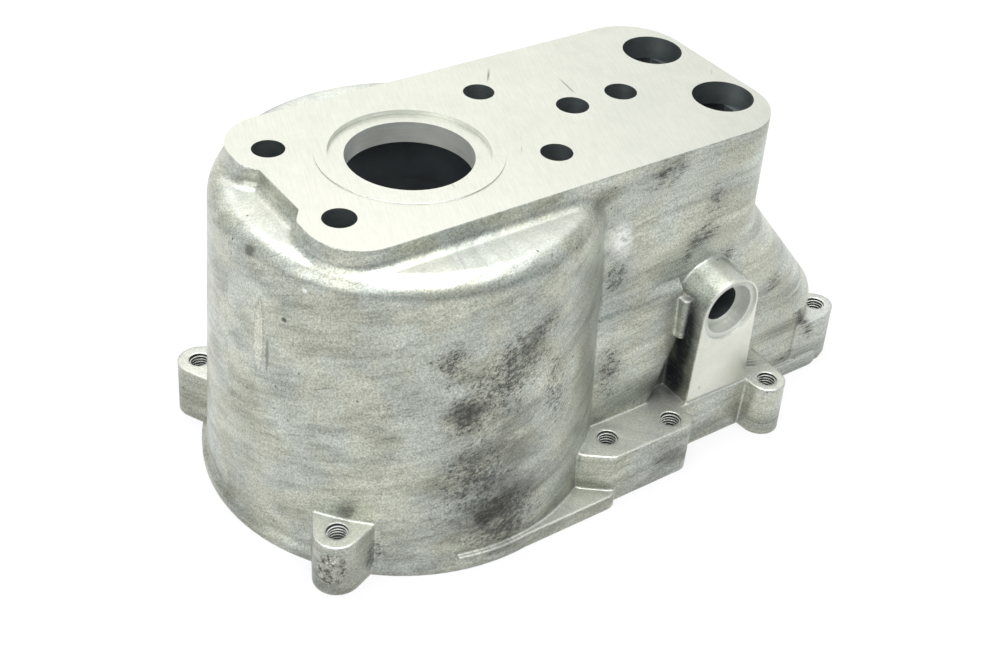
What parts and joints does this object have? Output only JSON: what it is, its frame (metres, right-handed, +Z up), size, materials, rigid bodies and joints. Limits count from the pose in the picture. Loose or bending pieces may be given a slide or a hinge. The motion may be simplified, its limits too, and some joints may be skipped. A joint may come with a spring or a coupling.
{
  "type": "die cast gear housing",
  "caption": "Die cast aluminium gear housing: round drum with a machined top plate, main bore, side boss, hollow neck and tapped lugs round an open base.",
  "frame": {"origin": "on the main bore's axis, at the floor of the round recess in the top face, where the bore starts", "axes": "+Z up along the main bore's axis, out of the machined top face; +X from the drum along the neck; the side bore points to -Y"},
  "size_m": [0.2065, 0.1188, 0.099],
  "materials": {
    "casting": "satin"
  },
  "bodies": {
    "root": {"housing": "casting"}
  },
  "joints": []
}
